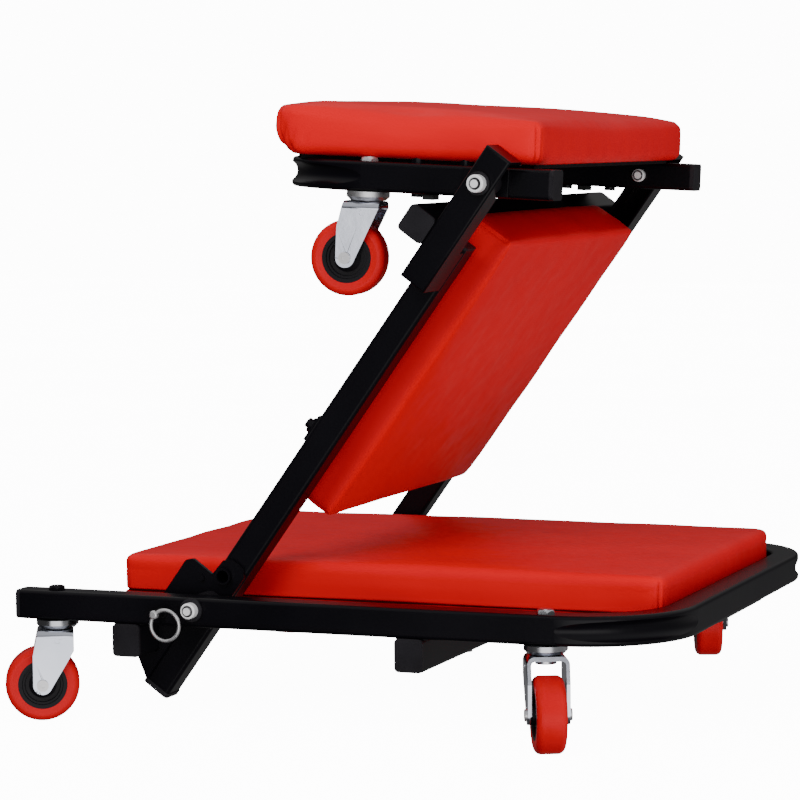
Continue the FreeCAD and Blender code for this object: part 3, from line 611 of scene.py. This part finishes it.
# ------------------------------------------- cover turned under the boards, staples
def hem(name, body, M, x0, x1, hw, rl, rr, z, seed):
    # strip of cover folded onto the underside of a board, z is the board face, strip lies below it
    rng = np.random.RandomState(seed)
    L, W = x1 - x0, 2 * hw
    outer = rr_outline(L, W, rl, rr, 8, 90, 70)
    n = len(outer)
    ph = rng.uniform(0, 6.28, 6)
    bm = bmesh.new()
    rows = []
    for k in range(7):
        row = []
        for i, (x, y) in enumerate(outer):
            a = 2 * math.pi * i / n
            depth = 0.019 + 0.0016 * math.sin(7 * a + ph[0]) + 0.0012 * math.sin(17 * a + ph[1]) + 0.0007 * math.sin(41 * a + ph[2])
            t = k / 6.0
            f = max(0.0, 1 - depth * t / (L / 2)), max(0.0, 1 - depth * t / (W / 2))
            drop = 0.0011 + 0.0005 * math.sin(29 * a + ph[3]) * t + 0.0003 * math.sin(67 * a + ph[4]) * t
            row.append(bm.verts.new((x * f[0], y * f[1], -max(0.0006, drop) * min(1.0, t * 3 + 0.25))))
        rows.append(row)
    lip = [bm.verts.new((v.co.x, v.co.y, 0.0002)) for v in rows[-1]]
    rows.append(lip)
    top = [bm.verts.new((v.co.x, v.co.y, 0.0002)) for v in rows[0]]
    rows.insert(0, top)
    for a, b in zip(rows, rows[1:]):
        for i in range(n):
            bm.faces.new((a[i], a[(i + 1) % n], b[(i + 1) % n], b[i]))
    for i in range(n):
        bm.faces.new((rows[-1][i], rows[-1][(i + 1) % n], rows[0][(i + 1) % n], rows[0][i]))
    bmesh.ops.recalc_face_normals(bm, faces=bm.faces)
    for f in bm.faces:
        f.smooth = True
    bm.transform(M @ Matrix.Translation(Vector(((x0 + x1) / 2, 0, z))))
    me = bpy.data.meshes.new(name)
    bm.to_mesh(me)
    bm.free()
    o = bpy.data.objects.new(name, me)
    scene.collection.objects.link(o)
    me.materials.append(M_VINYL)
    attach(o, body)
    # staples through the strip
    bm = bmesh.new()
    path = rr_outline(L - 0.024, W - 0.024, max(rl - 0.012, 0.002), max(rr - 0.012, 0.002), 3, 14, 10)
    m = len(path)
    for i in range(m):
        x, y = path[i]
        xn, yn = path[(i + 1) % m]
        a = math.atan2(yn - y, xn - x) + rng.uniform(-0.12, 0.12)
        c = Vector((x + rng.uniform(-0.001, 0.001), y + rng.uniform(-0.001, 0.001), -0.0019))
        t = Matrix.Translation(c) @ Matrix.Rotation(a, 4, "Z")
        for part, off in (((0.0095, 0.0012, 0.0007), (0, 0, 0)), ((0.0010, 0.0012, 0.0026), (-0.00425, 0, 0.001)),
                          ((0.0010, 0.0012, 0.0026), (0.00425, 0, 0.001))):
            bmesh.ops.create_cube(bm, size=1.0, matrix=t @ Matrix.Translation(Vector(off)) @ Matrix.Diagonal(Vector(part + (1.0,))))
    bm.transform(M @ Matrix.Translation(Vector(((x0 + x1) / 2, 0, z))))
    me = bpy.data.meshes.new(name + "_staples")
    bm.to_mesh(me)
    bm.free()
    o = bpy.data.objects.new(name + "_staples", me)
    scene.collection.objects.link(o)
    me.materials.append(M_ZINC)
    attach(o, body)


hem("base_hem", "base", M_BASE, -0.0822, 0.3088, 0.1352, 0.011, 0.011, 0.0700, 5)
hem("back_hem", "back", M_MID, 0.0902, 0.3180, 0.1352, 0.011, 0.011, -0.0100, 6)
hem("seat_hem", "seat", m_seat(), -0.1525, 0.0262, 0.1608, 0.020, 0.010, 0.0134, 7)


# ------------------------------------------------- black lining under the seat board, its walls painted shade in the gap
def lining_and_gap_shade(name, body, M, x0, x1, hw, z_top, z_low, wall):
    bm = bmesh.new()
    n = 24
    grid = []
    for i in range(n + 1):
        row = []
        for j in range(n + 1):
            x, y = x0 + (x1 - x0) * i / n, -hw + 2 * hw * j / n
            sag = 0.0004 * math.sin(i * 0.9) * math.sin(j * 0.7) + 0.0003 * math.sin(i * 0.37 + j * 0.51)
            row.append(bm.verts.new((x, y, z_top - 0.0026 + 0.6 * sag)))
        grid.append(row)
    for i in range(n):
        for j in range(n):
            bm.faces.new((grid[i][j], grid[i + 1][j], grid[i + 1][j + 1], grid[i][j + 1]))
    # painted shade: dark walls from the board down to the tube tops close the gap, so it reads as shadow
    for c, sz in ((((x0 + x1) / 2, -hw + wall / 2), (x1 - x0, wall)), (((x0 + x1) / 2, hw - wall / 2), (x1 - x0, wall)),
                  ((x0 + wall / 2, 0.0), (wall, 2 * hw)), ((x1 - wall / 2, 0.0), (wall, 2 * hw))):
        t = Matrix.Translation(Vector((c[0], c[1], (z_top + z_low) / 2))) @ Matrix.Diagonal(Vector((sz[0], sz[1], z_top - z_low, 1.0)))
        bmesh.ops.create_cube(bm, size=1.0, matrix=t)
    bm.transform(M)
    me = bpy.data.meshes.new(name)
    bm.to_mesh(me)
    bm.free()
    o = bpy.data.objects.new(name, me)
    scene.collection.objects.link(o)
    me.materials.append(M_LINER_AND_GAP_SHADE)
    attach(o, body)


lining_and_gap_shade("seat_lining", "seat", m_seat(), -0.1465, 0.0210, 0.1520, 0.0133, 0.0097, 0.0016)


# -------------------------------------------------------------------- weld beads
def weld(bm, a, b, r, seed):
    # ripple bead from a to b
    rng = np.random.RandomState(seed)
    a, b = Vector(a), Vector(b)
    d = b - a
    t = d.normalized()
    u = t.cross(Vector((0.3, 0.2, 0.9))).normalized()
    v = t.cross(u)
    n = max(6, int(d.length / 0.0006))
    rings = []
    for i in range(n + 1):
        f = i / n
        q = r * (1 + 0.16 * math.sin(d.length * f / 0.0021 * 2 * math.pi + rng.uniform(-0.3, 0.3)))
        q *= max(0.12, math.sin(math.pi * min(max(f, 0.02), 0.98)) ** 0.25)
        c = a + d * f
        rings.append([bm.verts.new(c + u * (q * math.cos(k * math.pi / 5)) + v * (q * math.sin(k * math.pi / 5))) for k in range(10)])
    for p0, p1 in zip(rings, rings[1:]):
        for k in range(10):
            bm.faces.new((p0[k], p0[(k + 1) % 10], p1[(k + 1) % 10], p1[k]))
    bm.faces.new(list(reversed(rings[0])))
    bm.faces.new(rings[-1])


def weld_piece(name, body, M, lines, r):
    bm = bmesh.new()
    for i, (a, b) in enumerate(lines):
        weld(bm, a, b, r, 100 + i)
    bmesh.ops.recalc_face_normals(bm, faces=bm.faces)
    for f in bm.faces:
        f.smooth = True
    bm.transform(M)
    me = bpy.data.meshes.new(name)
    bm.to_mesh(me)
    bm.free()
    o = bpy.data.objects.new(name, me)
    scene.collection.objects.link(o)
    me.materials.append(M_BLACK)
    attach(o, body)


lines = []
for xc in (-0.0500, 0.1565):
    for sy in (-1, 1):
        for dx in (-0.0092, 0.0092):
            lines.append(((xc + dx, sy * 0.1998, 0.0698), (xc + dx, sy * 0.1852, 0.0698)))
        lines.append(((xc - 0.0078, sy * 0.1832, 0.0694), (xc + 0.0078, sy * 0.1832, 0.0694)))
weld_piece("base_welds", "base", M_BASE, lines, 0.0016)
lines = []
for sy in (-1, 1):
    # upper cross tube to the arms, on the side away from the seat tubes
    lines.append(((0.2973, sy * 0.1685, 0.0102), (0.2973, sy * 0.1515, 0.0102)))
    # channel foot on the arm, lock plate on the arm
    lines.append(((0.2727, sy * 0.1704, -0.0076), (0.2727, sy * 0.1704, 0.0076)))
weld_piece("back_welds", "back", m_arm(), lines, 0.0015)
# smooth weld run behind the foot of each lock plate
bm = bmesh.new()
for sy in (-1, 1):
    t = Matrix.Translation(Vector((-0.0440, sy * 0.16855, 0.04603))) @ Matrix.Rotation(math.pi / 2, 4, "Y")
    bmesh.ops.create_cone(bm, cap_ends=True, segments=24, radius1=0.0014, radius2=0.0014, depth=0.0084, matrix=t)
bm.transform(M_BASE)
me = bpy.data.meshes.new("plate_foot_welds")
bm.to_mesh(me)
bm.free()
o = bpy.data.objects.new("plate_foot_welds", me)
scene.collection.objects.link(o)
me.materials.append(M_BLACK)
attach(o, "back")

# ---------------------------------------------------------------------- camera
cam = bpy.data.cameras.new("camera")
cam.sensor_width = 36.0
cam.lens = 3134.623 / 800.0 * 36.0
cam.clip_end = 50.0
co = bpy.data.objects.new("camera", cam)
scene.collection.objects.link(co)
R = [[0.93075827, 0.36550931, -0.00959085],
     [0.02173093, -0.08148336, -0.99643777],
     [-0.36498878, 0.92723428, -0.08378416]]
mw = Matrix.Identity(4)
for i in range(3):
    mw[i][0] = R[0][i]
    mw[i][1] = -R[1][i]
    mw[i][2] = -R[2][i]
mw[0][3] = 0.89931767 + SX
mw[1][3] = -2.10035685 + SY
mw[2][3] = 0.39894979
co.matrix_world = mw
scene.camera = co

# ----------------------------------------------------------------------- stage
bm = bmesh.new()
bmesh.ops.create_grid(bm, x_segments=8, y_segments=8, size=6.0)
me = bpy.data.meshes.new("floor")
bm.to_mesh(me)
bm.free()
floor = bpy.data.objects.new("floor", me)
scene.collection.objects.link(floor)
fm, fnt, fb = new_mat("floor_pale")
fv = coords(fnt)
pale = ramp(fnt, noise(fnt, fv, 3.0, 2.0), [(0.3, rgba(0.93, 0.93, 0.93)), (0.7, rgba(0.96, 0.96, 0.96))])
fnt.links.new(pale, fb.inputs["Base Color"])
fnt.links.new(pale, fb.inputs["Emission Color"])
fb.inputs["Emission Strength"].default_value = 13.5
fb.inputs["Roughness"].default_value = 0.75
floor.data.materials.append(fm)
floor.visible_glossy = False
floor.visible_diffuse = False
floor.visible_shadow = False

# soft studio: bright overhead, a pale wall in front, a dim one to the right, dark towards the left
world = bpy.data.worlds.new("studio")
scene.world = world
world.use_nodes = True
wt = world.node_tree
for n in list(wt.nodes):
    wt.nodes.remove(n)
wout = wt.nodes.new("ShaderNodeOutputWorld")
wmix = wt.nodes.new("ShaderNodeMixShader")
room = wt.nodes.new("ShaderNodeBackground")
white = wt.nodes.new("ShaderNodeBackground")
white.inputs["Strength"].default_value = 13.0
white.inputs["Color"].default_value = (1.0, 1.0, 1.0, 1.0)
room.inputs["Color"].default_value = (1.0, 0.985, 0.985, 1.0)
wdir = wt.nodes.new("ShaderNodeTexCoord")
wsep = wt.nodes.new("ShaderNodeSeparateXYZ")
wt.links.new(wdir.outputs["Generated"], wsep.inputs[0])


def step(out, a, b, c, d):
    n = wt.nodes.new("ShaderNodeMapRange")
    n.interpolation_type = "SMOOTHSTEP"
    for k, v in (("From Min", a), ("From Max", b), ("To Min", c), ("To Max", d)):
        n.inputs[k].default_value = v
    wt.links.new(out, n.inputs["Value"])
    return n.outputs["Result"]


overhead = step(wsep.outputs["Z"], 0.12, 0.70, 0.05, 0.66)
front = math_node(wt, "MULTIPLY", step(wsep.outputs["X"], -0.23, -0.13, 0.0, 2.1), step(wsep.outputs["Y"], -0.75, -0.55, 1.0, 0.0))
front = math_node(wt, "MULTIPLY", front, step(wsep.outputs["Z"], -0.45, -0.30, 0.0, 1.0))
front = math_node(wt, "MULTIPLY", front, step(wsep.outputs["Z"], 0.10, 0.30, 1.0, 0.0))
side = step(wsep.outputs["X"], 0.15, 0.75, 0.0, 0.20)
back = math_node(wt, "MULTIPLY", step(wsep.outputs["Y"], 0.35, 0.80, 0.0, 0.14), step(wsep.outputs["Z"], -0.22, -0.08, 1.0, 0.0))
total = math_node(wt, "ADD", math_node(wt, "ADD", overhead, front), math_node(wt, "ADD", side, back))
wt.links.new(total, room.inputs["Strength"])
path = wt.nodes.new("ShaderNodeLightPath")
wt.links.new(path.outputs["Is Camera Ray"], wmix.inputs["Fac"])
wt.links.new(room.outputs[0], wmix.inputs[1])
wt.links.new(white.outputs[0], wmix.inputs[2])
wt.links.new(wmix.outputs[0], wout.inputs["Surface"])


def area(name, loc, target, size, power):
    l = bpy.data.lights.new(name, "AREA")
    l.shape = "RECTANGLE"
    l.size, l.size_y = size
    l.energy = power
    o = bpy.data.objects.new(name, l)
    scene.collection.objects.link(o)
    d = Vector(target) - Vector(loc)
    o.matrix_world = Matrix.Translation(Vector(loc)) @ d.to_track_quat("-Z", "Y").to_matrix().to_4x4()
    o.visible_glossy = False
    return o


area("key", (-0.15, -1.65, 1.35), (0.05, 0.0, 0.30), (1.0, 0.8), 24.0)
area("right", (2.4, -0.5, 1.0), (0.05, 0.0, 0.25), (1.2, 1.0), 2.0)
area("bounce", (1.5, -0.7, -0.45), (0.10, 0.0, 0.28), (1.4, 1.2), 13.0)
